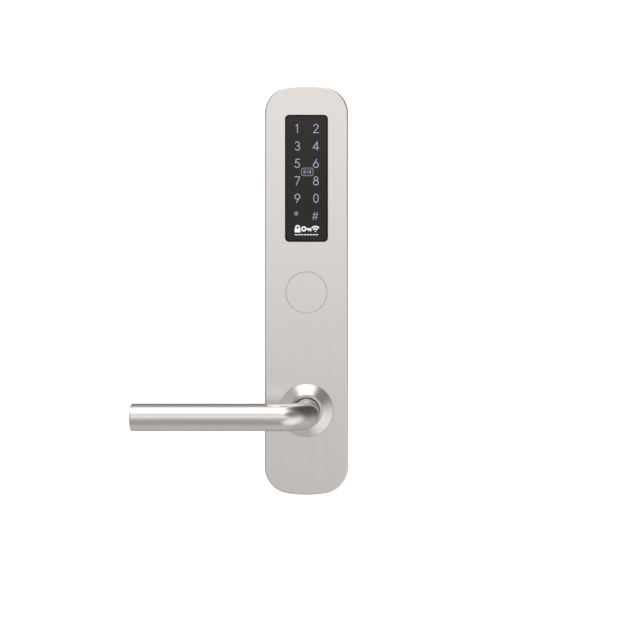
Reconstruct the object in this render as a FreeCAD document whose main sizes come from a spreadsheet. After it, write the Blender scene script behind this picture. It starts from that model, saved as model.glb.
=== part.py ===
import FreeCAD, Part
import math
import os
import re

import Sketcher

# Outside unit of a keypad smart lock: a tall escutcheon plate with a glass keypad, a covered key
# cylinder and a tubular lever handle.  Millimetres.  The door face is the plane y = 0 and the
# spindle axis runs through the origin along Y.  +Z is up and the plate faces -Y, so a distance
# "out" of the door face is -y; every depth named below is such a distance.

DIMENSIONS = (
    # escutcheon outline: two straight sides closed by three-centred arches
    ("plate_width", 62.0),
    ("plate_top", 241.0),
    ("plate_bottom", -63.0),
    ("corner_radius", 20.0),
    ("crown_radius", 85.0),
    # layers, from the door face outwards
    ("gasket_thick", 2.0),
    ("back_plate_thick", 1.5),
    ("housing_depth", 18.0),
    ("wall_thick", 2.0),
    ("wall_side", 2.2),
    ("plate_thick", 2.0),
    ("plate_edge_round", 1.4),
    # keypad
    ("keypad_height", 172.0),
    ("glass_width", 31.6),
    ("glass_length", 94.0),
    ("glass_corner", 3.0),
    ("glass_gap", 0.15),
    ("legend_column", 6.9),
    ("legend_pitch", 12.94),
    ("legend_bottom", 144.4),
    ("carrier_width", 38.0),
    ("carrier_length", 101.0),
    ("board_thick", 1.6),
    ("touch_board_out", 15.45),
    ("main_board_out", 7.0),
    ("main_board_width", 40.0),
    # key cylinder and its cover
    ("cover_height", 87.4),
    ("cover_radius", 15.25),
    ("cover_gap", 0.2),
    ("cylinder_radius", 13.0),
    ("cylinder_back", -16.0),
    ("cylinder_front", 17.98),
    ("plug_radius", 6.5),
    ("pin_pitch", 4.0),
    ("pin_first", 10.0),
    ("tailpiece_end", -55.0),
    # handle
    ("rose_radius", 19.65),
    ("rose_height", 5.6),
    ("rose_lip_radius", 12.1),
    ("rose_bore", 9.9),
    ("handle_hole", 12.6),
    ("tube_radius", 9.5),
    ("tube_wall", 1.5),
    ("lever_reach", 72.0),
    ("lever_length", 121.0),
    ("bend_radius", 19.5),
    ("neck_back", 21.2),
    ("hub_square", 9.0),
    # clutch behind the handle
    ("disc_radius", 17.0),
    ("disc_back", 11.6),
    ("disc_front", 14.1),
    ("ring_back", 8.55),
    ("ring_front", 11.55),
    ("ring_flange", 19.0),
    ("dog_circle", 12.0),
    ("dog_height", 1.5),
    ("driver_square", 14.0),
    ("driver_front", 11.5),
    ("driver_flange", 14.0),
    ("spindle_square", 8.0),
    ("spindle_end", -45.0),
    ("slide_gap", 0.05),
    ("screw_line", 11.6),
    ("fork_travel", 4.0),
    ("ring_travel", 2.0),
    # fasteners
    ("screw_column", 25.5),
    ("stud_column", 25.0),
    ("board_column", 24.0),
    ("tab_column", 23.0),
    ("post_top", 230.0),
    ("post_low", -48.0),
    ("post_radius", 4.5),
    ("post_end", -8.0),
    ("cable_height", 112.0),
    ("cable_bore", 3.5),
)

DOOR = "0"
HOUSING_BACK = "gasket_thick"
BACK_PLATE_FRONT = "(gasket_thick + back_plate_thick)"
WALL_BACK = "(gasket_thick + housing_depth - wall_thick)"
HOUSING_FRONT = "(gasket_thick + housing_depth)"
PLATE_FRONT = "(gasket_thick + housing_depth + plate_thick)"

SIDES = ("-", "")
BACK_SCREW_ROWS = ("210", "120", "42", "-38")
STUD_ROWS = ("180", "65", "-20")
BOARD_ROWS = ("140", "200")
TAB_ROWS = ("165", "190")
PIN_COUNT = 5
DOG_ANGLES = (45, 135, 225, 315)
STOP_EAR_ANGLE = -112.5
STOP_PIN_ANGLES = (-126.5, -53.5)
STOP_CIRCLE = 14.6

doc = FreeCAD.newDocument("keypad_lock")
sheet = doc.addObject("Spreadsheet::Sheet", "dims")
for row, (alias, amount) in enumerate(DIMENSIONS, start=1):
    sheet.set("A%d" % row, alias)
    sheet.set("B%d" % row, str(amount))
    sheet.setAlias("B%d" % row, alias)
doc.recompute()

ALIASES = re.compile(r"\b(" + "|".join(alias for alias, amount in DIMENSIONS) + r")\b")
nodes = []


# ---------------------------------------------------------------- sheet, bodies and sketches

def linked(text):
    """Expression with every dimension's name pointing at the sheet."""
    return ALIASES.sub(r"dims.\1", text)


def size(text):
    """Present value of an expression of dimensions."""
    return float(sheet.evalExpression(linked(text)))


def minus(text):
    return "-(%s)" % text


def signed(sign, text):
    """The expression, or its negative when the sign is a minus."""
    return minus(text) if sign == "-" else text


def new_body(label, height=None):
    """PartDesign body; with a height its own axis sits that far above the spindle axis."""
    body = doc.addObject("PartDesign::Body", label)
    body.Label = label
    if height:
        body.setExpression("Placement.Base.z", linked(height))
    nodes.append(body)
    return body


def new_sketch(body, role, offset):
    sketch = body.newObject("Sketcher::SketchObject", body.Name + "_sketch")
    plane = next(item for item in body.Origin.OriginFeatures if item.Role == role)
    sketch.AttachmentSupport = [(plane, "")]
    sketch.MapMode = "FlatFace"
    sketch.setExpression("AttachmentOffset.Base.z", linked(offset))
    return sketch


def bound(sketch, kind, *where, to):
    """Driving constraint whose value follows an expression."""
    index = sketch.addConstraint(Sketcher.Constraint(kind, *where, size(to)))
    sketch.setExpression("Constraints[%d]" % index, linked(to))


def pin_point(sketch, geometry, point, across, up):
    bound(sketch, "DistanceX", -1, 1, geometry, point, to=across)
    bound(sketch, "DistanceY", -1, 1, geometry, point, to=up)


def flat(across, up):
    return FreeCAD.Vector(across, up, 0)


def circle(sketch, across, up, radius):
    middle = flat(size(across), size(up))
    shape = Part.Circle(middle, FreeCAD.Vector(0, 0, 1), size(radius))
    index = sketch.addGeometry(shape)
    bound(sketch, "Radius", index, to=radius)
    pin_point(sketch, index, 3, across, up)


def polygon(sketch, points):
    """Closed run of straight lines through points given as pairs of expressions."""
    first = sketch.GeometryCount
    places = [flat(size(across), size(up)) for across, up in points]
    count = len(points)
    for step in range(count):
        sketch.addGeometry(Part.LineSegment(places[step], places[(step + 1) % count]))
    for step in range(count):
        following = (step + 1) % count
        sketch.addConstraint(Sketcher.Constraint("Coincident", first + step, 2, first + following, 1))
        pin_point(sketch, first + step, 1, *points[step])


def rectangle(sketch, left, low, right, high):
    polygon(sketch, [(left, low), (right, low), (right, high), (left, high)])


def square(sketch, side):
    half = "(%s) / 2" % side
    rectangle(sketch, minus(half), minus(half), half, half)


def arc(sketch, across, up, radius, start, end):
    ring = Part.Circle(flat(across, up), FreeCAD.Vector(0, 0, 1), radius)
    return sketch.addGeometry(Part.ArcOfCircle(ring, start, end))


def smooth_joints(sketch, first, count):
    """Close a run of lines and arcs with tangent joints, end to start."""
    for step in range(count):
        following = first + (step + 1) % count
        sketch.addConstraint(Sketcher.Constraint("Tangent", first + step, 2, following, 1))


def rounded(sketch, up, width, height, radius):
    """Rounded rectangle centred on the sketch's vertical axis."""
    first = sketch.GeometryCount
    middle, bend = size(up), size(radius)
    half_width, half_height = size(width) / 2, size(height) / 2
    inner_width, inner_height = half_width - bend, half_height - bend
    quarter = math.pi / 2
    corners = ((1, -1, 3), (1, 1, 0), (-1, 1, 1), (-1, -1, 2))
    starts = (
        (flat(-inner_width, middle - half_height), flat(inner_width, middle - half_height)),
        (flat(half_width, middle - inner_height), flat(half_width, middle + inner_height)),
        (flat(inner_width, middle + half_height), flat(-inner_width, middle + half_height)),
        (flat(-half_width, middle + inner_height), flat(-half_width, middle - inner_height)),
    )
    for line, (side, rise, turn) in zip(starts, corners):
        sketch.addGeometry(Part.LineSegment(*line))
        arc(sketch, side * inner_width, middle + rise * inner_height, bend,
            turn * quarter, (turn + 1) * quarter)
    smooth_joints(sketch, first, 8)
    for step in (0, 4):
        sketch.addConstraint(Sketcher.Constraint("Horizontal", first + step))
        sketch.addConstraint(Sketcher.Constraint("Vertical", first + step + 2))
    for step in (1, 3, 5, 7):
        bound(sketch, "Radius", first + step, to=radius)
    bound(sketch, "DistanceY", -1, 1, first, 1, to="%s - (%s) / 2" % (up, height))
    bound(sketch, "DistanceY", -1, 1, first + 4, 1, to="%s + (%s) / 2" % (up, height))
    bound(sketch, "DistanceX", -1, 1, first + 2, 1, to="(%s) / 2" % width)
    bound(sketch, "DistanceX", -1, 1, first + 6, 1, to="-(%s) / 2" % width)


def arch_outline(sketch, inset="0"):
    """Escutcheon outline drawn in by the inset; the arc centres stay where they are."""
    first = sketch.GeometryCount
    half = size("plate_width / 2 - (%s)" % inset)
    centre_x = size("plate_width / 2 - corner_radius")
    bend, crown = size("corner_radius - (%s)" % inset), size("crown_radius - (%s)" % inset)
    rise = math.sqrt((crown - bend) ** 2 - centre_x ** 2)
    lean = math.atan2(rise, centre_x)
    top_crown = size("plate_top - crown_radius")
    low_crown = size("plate_bottom + crown_radius")
    top, low = top_crown + rise, low_crown - rise
    half_turn = math.pi
    sketch.addGeometry(Part.LineSegment(flat(half, low), flat(half, top)))
    arc(sketch, centre_x, top, bend, 0, lean)
    arc(sketch, 0, top_crown, crown, lean, half_turn - lean)
    arc(sketch, -centre_x, top, bend, half_turn - lean, half_turn)
    sketch.addGeometry(Part.LineSegment(flat(-half, top), flat(-half, low)))
    arc(sketch, -centre_x, low, bend, half_turn, half_turn + lean)
    arc(sketch, 0, low_crown, crown, half_turn + lean, 2 * half_turn - lean)
    arc(sketch, centre_x, low, bend, 2 * half_turn - lean, 2 * half_turn)
    smooth_joints(sketch, first, 8)
    for line, side in ((0, ""), (4, "-")):
        sketch.addConstraint(Sketcher.Constraint("Vertical", first + line))
        bound(sketch, "DistanceX", -1, 1, first + line, 1,
              to=signed(side, "plate_width / 2 - (%s)" % inset))
    for corner in (1, 3, 5, 7):
        bound(sketch, "Radius", first + corner, to="corner_radius - (%s)" % inset)
    for arch, centre in ((2, "plate_top - crown_radius"), (6, "plate_bottom + crown_radius")):
        bound(sketch, "Radius", first + arch, to="crown_radius - (%s)" % inset)
        sketch.addConstraint(Sketcher.Constraint("PointOnObject", first + arch, 3, -2))
        bound(sketch, "DistanceY", -1, 1, first + arch, 3, to=centre)


# ---------------------------------------------------------------- features

def feature(body, kind, sketch, length):
    item = body.newObject("PartDesign::" + kind, body.Name + "_" + kind.lower())
    item.Profile = sketch
    item.setExpression("Length", linked(length))
    doc.recompute()
    return item


def pad(body, inner, outer, draw):
    """Material between two distances out of the door face."""
    sketch = new_sketch(body, "XZ_Plane", inner)
    draw(sketch)
    return feature(body, "Pad", sketch, "(%s) - (%s)" % (outer, inner))


def cut(body, inner, outer, draw):
    """Opening between two distances out of the door face."""
    before = body.Shape.Volume
    sketch = new_sketch(body, "XZ_Plane", outer)
    draw(sketch)
    item = feature(body, "Pocket", sketch, "(%s) - (%s)" % (outer, inner))
    if not body.Shape.Volume < before:
        raise RuntimeError("opening removed nothing from " + body.Label)
    return item


def side_feature(body, kind, role, level, length, draw):
    """Pad or pocket square to one of the other origin planes, starting at that level."""
    sketch = new_sketch(body, role, level)
    draw(sketch)
    return feature(body, kind, sketch, length)


def turned(body, points):
    """Solid of revolution about the body's Y axis from (radius, distance out) pairs."""
    sketch = new_sketch(body, "XY_Plane", "0")
    polygon(sketch, [(radius, minus(out)) for radius, out in points])
    item = body.newObject("PartDesign::Revolution", body.Name + "_revolution")
    item.Profile = sketch
    item.ReferenceAxis = (sketch, ["V_Axis"])
    item.Angle = 360
    doc.recompute()
    return item


def dressed(body, kind, amount, chosen):
    """Fillet or chamfer on the edges that pass the test."""
    names = ["Edge%d" % (step + 1) for step, edge in enumerate(body.Shape.Edges) if chosen(edge)]
    if not names:
        raise RuntimeError("no edge found on " + body.Label)
    worked = body.Tip
    item = body.newObject("PartDesign::" + kind, body.Name + "_" + kind.lower())
    item.Base = (worked, names)
    item.setExpression("Radius" if kind == "Fillet" else "Size", linked(amount))
    doc.recompute()
    return item


def lies_at(out):
    """Test for edges that lie wholly at one distance out of the door face."""
    level = -size(out)

    def test(edge):
        box = edge.BoundBox
        return abs(box.YMin - level) < 1e-4 and abs(box.YMax - level) < 1e-4
    return test


def circles(places, radius):
    """Draws one circle at each place."""
    def draw(sketch):
        for across, up in places:
            circle(sketch, across, up, radius)
    return draw


def disc(radius, up="0"):
    return circles([("0", up)], radius)


def box(left, low, right, high):
    return lambda sketch: rectangle(sketch, left, low, right, high)


def grid(column, rows):
    """Places mirrored either side of the middle line."""
    return [(signed(side, column), up) for side in SIDES for up in rows]


def polar(radius, degrees):
    """Place on a circle about the spindle axis, as a pair of expressions."""
    angle = math.radians(degrees)
    return ("(%s) * %.6f" % (radius, math.cos(angle)), "(%s) * %.6f" % (radius, math.sin(angle)))


def turned_box(middle_radius, degrees, length, width):
    """Rectangle centred on a circle about the axis, its length along the radius."""
    angle = math.radians(degrees)
    along = (math.cos(angle), math.sin(angle))
    points = []
    for forth, aside in ((-1, -1), (1, -1), (1, 1), (-1, 1)):
        reach = "(%s + %d * %s / 2)" % (middle_radius, forth, length)
        points.append((
            "%s * %.6f - %d * %s / 2 * %.6f" % (reach, along[0], aside, width, along[1]),
            "%s * %.6f + %d * %s / 2 * %.6f" % (reach, along[1], aside, width, along[0]),
        ))
    return points


def screws(label, places, seat, head_radius, head_height, shank_radius, tip, height=None):
    """Set of equal screws driven outwards: heads on the door side of the seat."""
    body = new_body(label, height)
    pad(body, "%s - %s" % (seat, head_height), seat, circles(places, head_radius))
    dressed(body, "Fillet", "(%s) * 0.35" % head_height, lies_at("%s - %s" % (seat, head_height)))
    cut(body, "%s - %s" % (seat, head_height), "%s - (%s) * 0.45" % (seat, head_height),
        lambda sketch: [rounded_slot(sketch, across, up, head_radius) for across, up in places])
    pad(body, seat, tip, circles(places, shank_radius))
    return body


def rounded_slot(sketch, across, up, head_radius):
    """Six-sided socket in a screw head."""
    points = []
    for step in range(6):
        angle = math.radians(60 * step)
        points.append((
            "%s + (%s) * %.6f" % (across, head_radius, 0.5 * math.cos(angle)),
            "%s + (%s) * %.6f" % (up, head_radius, 0.5 * math.sin(angle)),
        ))
    polygon(sketch, points)


def shaped(label, shape, height=None):
    """Piece whose swept shape is made in code from the sheet's sizes."""
    item = doc.addObject("Part::Feature", label)
    item.Label = label
    item.Shape = shape
    if height:
        item.setExpression("Placement.Base.z", linked(height))
    nodes.append(item)
    return item


def swept(path, radius):
    """Round wire along a path."""
    start = path.Edges[0].valueAt(path.Edges[0].FirstParameter)
    heading = path.Edges[0].tangentAt(path.Edges[0].FirstParameter)
    section = Part.Wire(Part.makeCircle(radius, start, heading))
    shell = Part.BRepOffsetAPI.MakePipeShell(Part.Wire(path.Edges))
    shell.add(section)
    shell.setFrenetMode(True)
    shell.build()
    shell.makeSolid()
    return shell.shape()


def rounded_path(points, bend):
    """Straight runs between points, joined by tangent arcs of one radius where there is room."""
    places = [FreeCAD.Vector(*point) for point in points]
    edges = []
    reached = places[0]
    for before, corner, after in zip(places, places[1:], places[2:]):
        arriving = (corner - before).normalize()
        leaving = (after - corner).normalize()
        turn = arriving.getAngle(leaving)
        room = 0.45 * min((corner - before).Length, (after - corner).Length)
        radius = min(bend, room / math.tan(turn / 2))
        back = radius * math.tan(turn / 2)
        begin, finish = corner - arriving * back, corner + leaving * back
        inward = (leaving - arriving).normalize()
        crest = corner + inward * (radius / math.cos(turn / 2) - radius)
        edges.append(Part.LineSegment(reached, begin).toShape())
        edges.append(Part.Arc(begin, crest, finish).toShape())
        reached = finish
    edges.append(Part.LineSegment(reached, places[-1]).toShape())
    return Part.Wire(edges)


def coil(radius, wire, pitch, turns, start, first_angle=0):
    """Helical spring round the Y axis, wound outwards from its start distance out."""
    helix = Part.makeLongHelix(pitch, pitch * turns, radius)
    helix.rotate(FreeCAD.Vector(0, 0, 0), FreeCAD.Vector(0, 0, 1), first_angle)
    helix.rotate(FreeCAD.Vector(0, 0, 0), FreeCAD.Vector(1, 0, 0), 90)
    helix.translate(FreeCAD.Vector(0, -start, 0))
    return swept(helix, wire)


# ---------------------------------------------------------------- escutcheon

def build_face_plate():
    body = new_body("face_plate")
    pad(body, HOUSING_FRONT, PLATE_FRONT, arch_outline)
    dressed(body, "Fillet", "plate_edge_round", lies_at(PLATE_FRONT))
    cut(body, HOUSING_FRONT, PLATE_FRONT, lambda sketch: rounded(
        sketch, "keypad_height", "glass_width + 2 * glass_gap", "glass_length + 2 * glass_gap",
        "glass_corner + glass_gap"))
    cut(body, HOUSING_FRONT, PLATE_FRONT, disc("cover_radius + cover_gap", "cover_height"))
    cut(body, HOUSING_FRONT, PLATE_FRONT, disc("handle_hole"))
    pad(body, WALL_BACK + " - 4", HOUSING_FRONT, circles(grid("stud_column", STUD_ROWS), "1.5"))


def build_plate_nuts():
    body = new_body("plate_nuts")
    places = grid("stud_column", STUD_ROWS)
    pad(body, WALL_BACK + " - 2.4", WALL_BACK,
        lambda sketch: [rounded_slot(sketch, across, up, "6.2") for across, up in places])
    cut(body, WALL_BACK + " - 2.4", WALL_BACK, circles(places, "1.55"))


def build_housing():
    body = new_body("housing")
    posts = [("0", "post_top"), ("0", "post_low")]
    back_screws = grid("screw_column", BACK_SCREW_ROWS)
    board_posts = grid("board_column", BOARD_ROWS)
    pad(body, HOUSING_BACK, HOUSING_FRONT, arch_outline)
    cut(body, HOUSING_BACK, WALL_BACK, lambda sketch: arch_outline(sketch, "wall_side"))
    pad(body, BACK_PLATE_FRONT, WALL_BACK, circles(back_screws, "3.5"))
    pad(body, "10", WALL_BACK, circles(posts, "5.5"))
    pad(body, "main_board_out + board_thick", WALL_BACK, circles(board_posts, "2.5"))
    cut(body, WALL_BACK, HOUSING_FRONT, lambda sketch: rounded(
        sketch, "keypad_height", "carrier_width - 2.4", "carrier_length - 2.8", "4.8"))
    cut(body, WALL_BACK, HOUSING_FRONT, disc("16.5", "cover_height"))
    cut(body, WALL_BACK, HOUSING_FRONT, disc("10"))
    cut(body, WALL_BACK, HOUSING_FRONT, circles(grid("stud_column", STUD_ROWS), "1.7"))
    cut(body, BACK_PLATE_FRONT, "14.5", circles(back_screws, "1.5"))
    cut(body, "10", "17.3", circles(posts, "2.5"))
    cut(body, "main_board_out + board_thick", "13.5", circles(board_posts, "1.3"))
    blind = grid("tab_column", TAB_ROWS) + grid("11", ["40"])
    cut(body, WALL_BACK, "19.7", circles(blind, "1.3"))
    cut(body, WALL_BACK, "19.7", circles(grid("19.5", ["cover_height"]), "1.5"))
    stops = [polar(str(STOP_CIRCLE), angle) for angle in STOP_PIN_ANGLES]
    cut(body, WALL_BACK, "19.6", circles(stops, "1.52"))


def build_back():
    places = grid("screw_column", BACK_SCREW_ROWS)
    plate = new_body("back_plate")
    pad(plate, HOUSING_BACK, BACK_PLATE_FRONT, lambda sketch: arch_outline(sketch, "wall_side + 0.3"))
    cut(plate, HOUSING_BACK, BACK_PLATE_FRONT, disc("9.57"))
    cut(plate, HOUSING_BACK, BACK_PLATE_FRONT, disc("cylinder_radius + 0.3", "cover_height"))
    cut(plate, HOUSING_BACK, BACK_PLATE_FRONT, disc("6", "cable_height"))
    posts = [("0", "post_top"), ("0", "post_low")]
    cut(plate, HOUSING_BACK, BACK_PLATE_FRONT, circles(posts, "post_radius + 0.2"))
    cut(plate, HOUSING_BACK, BACK_PLATE_FRONT, circles(places, "1.6"))
    cut(plate, HOUSING_BACK, HOUSING_BACK + " + 0.95", circles(places, "3"))
    screws("back_plate_screws", places, HOUSING_BACK + " + 0.95", "2.8", "0.9", "1.45", "14")

    gasket = new_body("door_gasket")
    pad(gasket, DOOR, HOUSING_BACK, lambda sketch: arch_outline(sketch, "1"))
    cut(gasket, DOOR, HOUSING_BACK, disc("10.6"))
    cut(gasket, DOOR, HOUSING_BACK, disc("cylinder_radius + 0.5", "cover_height"))
    cut(gasket, DOOR, HOUSING_BACK, disc("8", "cable_height"))
    cut(gasket, DOOR, HOUSING_BACK, circles(posts, "post_radius + 0.5"))

    post = new_body("fixing_posts")
    pad(post, "post_end", "9.95", circles(posts, "post_radius"))
    dressed(post, "Chamfer", "0.6", lies_at("post_end"))
    pad(post, "9.95", "17", circles(posts, "2.45"))
    cut(post, "post_end", "6", circles(posts, "2.1"))

    grommet = new_body("cable_grommet", "cable_height")
    turned(grommet, [
        ("cable_bore", "0.7"), ("7.5", "0.7"), ("7.5", "1.95"), ("5.9", "1.95"), ("5.9", "3.55"),
        ("7.2", "3.55"), ("6.6", "4.8"), ("cable_bore", "4.8"),
    ])


# ---------------------------------------------------------------- keypad and electronics

def build_keypad():
    glass = new_body("keypad_glass")
    pad(glass, HOUSING_FRONT + " + 0.1", PLATE_FRONT + " - 0.1", lambda sketch: rounded(
        sketch, "keypad_height", "glass_width", "glass_length", "glass_corner"))
    dressed(glass, "Chamfer", "0.25", lies_at(PLATE_FRONT + " - 0.1"))

    gasket = new_body("keypad_gasket")
    pad(gasket, HOUSING_FRONT + " - 0.5", HOUSING_FRONT + " + 0.1", lambda sketch: rounded(
        sketch, "keypad_height", "glass_width - 0.6", "glass_length - 0.6", "glass_corner"))
    cut(gasket, HOUSING_FRONT + " - 0.5", HOUSING_FRONT + " + 0.1", lambda sketch: rounded(
        sketch, "keypad_height", "glass_width - 3", "glass_length - 3", "2"))

    carrier = new_body("keypad_carrier")
    wall_clear = WALL_BACK + " - 0.05"
    pad(carrier, "14", wall_clear, lambda sketch: rounded(
        sketch, "keypad_height", "carrier_width", "carrier_length", "5.2"))
    for up in TAB_ROWS:
        pad(carrier, "16", wall_clear,
            box("-tab_column - 3.2", up + " - 4.5", "tab_column + 3.2", up + " + 4.5"))
    pad(carrier, wall_clear, HOUSING_FRONT + " - 0.5", lambda sketch: rounded(
        sketch, "keypad_height", "carrier_width - 3", "carrier_length - 3.4", "4.4"))
    cut(carrier, "touch_board_out - 0.05", HOUSING_FRONT + " - 0.5", lambda sketch: rounded(
        sketch, "keypad_height", "glass_width - 2.2", "glass_length - 2.6", "2.4"))
    cut(carrier, "14", "touch_board_out - 0.05", box("-7", "139.5", "7", "150.5"))
    cut(carrier, "16", wall_clear, circles(grid("tab_column", TAB_ROWS), "1.35"))
    screws("carrier_screws", grid("tab_column", TAB_ROWS), "16", "2.3", "1.5", "1.25", "19.5")

    board = new_body("touch_board")
    front = "(touch_board_out + board_thick)"
    pad(board, "touch_board_out", front, lambda sketch: rounded(
        sketch, "keypad_height", "glass_width - 2.8", "glass_length - 3.2", "2"))

    antenna = new_body("rfid_antenna")
    for inset in ("0", "1.6", "3.2"):
        pad(antenna, front + " + 0.02", front + " + 0.4", lambda sketch: rounded(
            sketch, "keypad_height", "glass_width - 3 - " + inset, "glass_length - 3.4 - " + inset,
            "1.9"))
        cut(antenna, front + " + 0.02", front + " + 0.4", lambda sketch: rounded(
            sketch, "keypad_height", "glass_width - 3.8 - " + inset,
            "glass_length - 4.2 - " + inset, "1.5"))

    leds = new_body("key_leds")
    lamps = grid("legend_column", ["legend_bottom + %d * legend_pitch" % row for row in range(6)])
    pad(leds, front, front + " + 0.6", lambda sketch: [
        rectangle(sketch, across + " - 0.8", up + " - 0.6", across + " + 0.8", up + " + 0.6")
        for across, up in lamps])

    guide = new_body("light_guide")
    pad(guide, front + " + 0.5", HOUSING_FRONT + " - 0.7", lambda sketch: rounded(
        sketch, "keypad_height", "glass_width - 3", "glass_length - 3.4", "1.9"))
    cut(guide, front + " + 0.5", front + " + 0.9", circles(lamps, "1.5"))


def build_electronics():
    board = new_body("main_board")
    back, front = "main_board_out", "(main_board_out + board_thick)"
    pad(board, back, front, box("-main_board_width / 2", "120.5", "main_board_width / 2", "219.5"))
    for up in BOARD_ROWS:
        pad(board, back, front, box("-board_column - 3", up + " - 3", "board_column + 3", up + " + 3"))
    cut(board, back, front, circles(grid("board_column", BOARD_ROWS), "1.35"))
    screws("main_board_screws", grid("board_column", BOARD_ROWS), back, "2.3", "1.5", "1.25", "13")

    chip = new_body("processor")
    pad(chip, front, front + " + 1", box("-5", "160", "5", "170"))
    dressed(chip, "Chamfer", "0.2", lies_at(front + " + 1"))

    sounder = new_body("buzzer")
    pad(sounder, front, front + " + 4", disc("4.5", "208"))
    cut(sounder, front + " + 3", front + " + 4", disc("1", "208"))
    dressed(sounder, "Fillet", "0.4", lies_at(front + " + 4"))

    sockets = new_body("board_connectors")
    pad(sockets, front, front + " + 2", box("-5.5", "128", "5.5", "134"))
    pad(sockets, "touch_board_out - 1.9", "touch_board_out", box("-5.5", "141", "5.5", "149"))
    pad(sockets, front, front + " + 3.4", box("9", "121", "18", "127"))
    pad(sockets, back + " - 3", back, box("-6", "121.5", "6", "129"))

    power = new_body("power_parts")
    pad(power, front, front + " + 4.6", circles([("-12", "128"), ("-12", "137")], "3.2"))
    pad(power, front, front + " + 3", box("-16", "176", "-8", "184"))
    dressed(power, "Fillet", "0.4", lies_at(front + " + 4.6"))

    ribbon = new_body("ribbon_cable")
    pad(ribbon, "13.65", "13.95", box("-4", "117", "4", "141"))
    pad(ribbon, "9.85", "10.15", box("-4", "117", "4", "128"))
    bend = new_sketch(ribbon, "YZ_Plane", "-4")
    first = bend.GeometryCount
    outer = arc(bend, -11.9, 117, 2.05, math.pi, 2 * math.pi)
    bend.addGeometry(Part.LineSegment(flat(-9.85, 117), flat(-10.15, 117)))
    inner = arc(bend, -11.9, 117, 1.75, math.pi, 2 * math.pi)
    bend.addGeometry(Part.LineSegment(flat(-13.65, 117), flat(-13.95, 117)))
    for joined in ((first, 2, first + 1, 1), (first + 1, 2, inner, 2),
                   (inner, 1, first + 3, 1), (first + 3, 2, first, 1)):
        bend.addConstraint(Sketcher.Constraint("Coincident", *joined))
    feature(ribbon, "Pad", bend, "8")

    wires = []
    for across, side, low, end in ((14.5, 20.9, 66, 3), (12.5, 19.6, 68.8, -3)):
        wires.append(swept(rounded_path([
            (across, -10.6, 121), (across, -10.6, 114), (side, -10.6, 105),
            (side, -10.6, low), (end, -10.6, low), (end, -10.6, 60.1),
        ], 4), 0.5))
    shaped("motor_cable", Part.makeCompound(wires))


# ---------------------------------------------------------------- key cylinder and cover

def pin_depths():
    return ["pin_first - %d * pin_pitch" % step for step in range(PIN_COUNT)]


def pin_columns(body, kind, level, length, radius):
    """Round columns along +Z at every pin position, padded or cut from one level."""
    def draw(sketch):
        for out in pin_depths():
            circle(sketch, "0", minus(out), radius)
    return side_feature(body, kind, "XY_Plane", level, length, draw)


def build_cylinder():
    shell = new_body("cylinder_body", "cover_height")
    turned(shell, [
        ("plug_radius + slide_gap", "cylinder_back"), ("cylinder_radius", "cylinder_back"),
        ("cylinder_radius", "cylinder_front - 2.5"), ("cylinder_radius + 4", "cylinder_front - 2.5"),
        ("cylinder_radius + 4", "cylinder_front"), ("plug_radius + slide_gap", "cylinder_front"),
    ])
    for side in SIDES:
        near, far = sorted((signed(side, "14"), signed(side, "23")), key=size)
        pad(shell, "cylinder_front - 2.5", "cylinder_front", box(near, "-6", far, "6"))
    cut(shell, "cylinder_front - 2.5", "cylinder_front", circles(grid("19.5", ["0"]), "1.6"))
    pin_columns(shell, "Pocket", "cylinder_radius + 0.2", "cylinder_radius - plug_radius + 1", "1.5")
    screws("cylinder_screws", grid("19.5", ["0"]), "cylinder_front - 2.5", "2.6", "1.6", "1.45",
           "19.6", "cover_height")

    plug = new_body("cylinder_plug", "cover_height")
    turned(plug, [
        ("0", "cylinder_back - 3"), ("plug_radius", "cylinder_back - 3"),
        ("plug_radius", "cylinder_back - 1.3"), ("plug_radius - 0.9", "cylinder_back - 1.3"),
        ("plug_radius - 0.9", "cylinder_back - 0.2"), ("plug_radius", "cylinder_back - 0.2"),
        ("plug_radius", "cylinder_front - 0.5"), ("0", "cylinder_front - 0.5"),
    ])
    dressed(plug, "Chamfer", "0.3", lies_at("cylinder_front - 0.5"))
    cut(plug, "cylinder_back + 4", "cylinder_front - 0.5", box("-0.9", "-4.6", "0.9", "3.6"))
    pin_columns(plug, "Pocket", "plug_radius + 0.2", "plug_radius - 0.5", "1.45")
    side_feature(plug, "Pocket", "XZ_Plane", "cylinder_back + 1", "5", box("-1.05", "-2.55", "1.05", "2.55"))

    key_pins = new_body("key_pins", "cover_height")
    pin_columns(key_pins, "Pad", "1.2", "plug_radius - 1.36", "1.38")
    driver_pins = new_body("driver_pins", "cover_height")
    pin_columns(driver_pins, "Pad", "plug_radius + 0.1", "2.4", "1.42")
    caps = new_body("chamber_caps", "cover_height")
    pin_columns(caps, "Pad", "cylinder_radius - 1.6", "1.4", "1.48")

    lengthwise = FreeCAD.Rotation(FreeCAD.Vector(1, 0, 0), -90)
    springs = []
    for out in pin_depths():
        spring = coil(1.05, 0.15, 0.49, 4, 0)
        spring.Placement = FreeCAD.Placement(FreeCAD.Vector(0, -size(out), 9.22), lengthwise)
        springs.append(spring)
    shaped("pin_springs", Part.makeCompound(springs), "cover_height")

    clip = new_body("plug_clip", "cover_height")
    turned(clip, [
        ("plug_radius - 0.85", "cylinder_back - 1.2"), ("plug_radius + 2.2", "cylinder_back - 1.2"),
        ("plug_radius + 2.2", "cylinder_back - 0.3"), ("plug_radius - 0.85", "cylinder_back - 0.3"),
    ])
    cut(clip, "cylinder_back - 1.2", "cylinder_back - 0.3", box("-2.4", "-9.5", "2.4", "-3"))

    tail = new_body("tailpiece", "cover_height")
    pad(tail, "tailpiece_end", "cylinder_back + 0.8", box("-1", "-2.5", "1", "2.5"))
    for step in range(6):
        start = "tailpiece_end + 5 + %d" % (5 * step)
        for low, high in (("-2.6", "-2.1"), ("2.1", "2.6")):
            cut(tail, start, start + " + 0.8", box("-1.1", low, "1.1", high))


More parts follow.
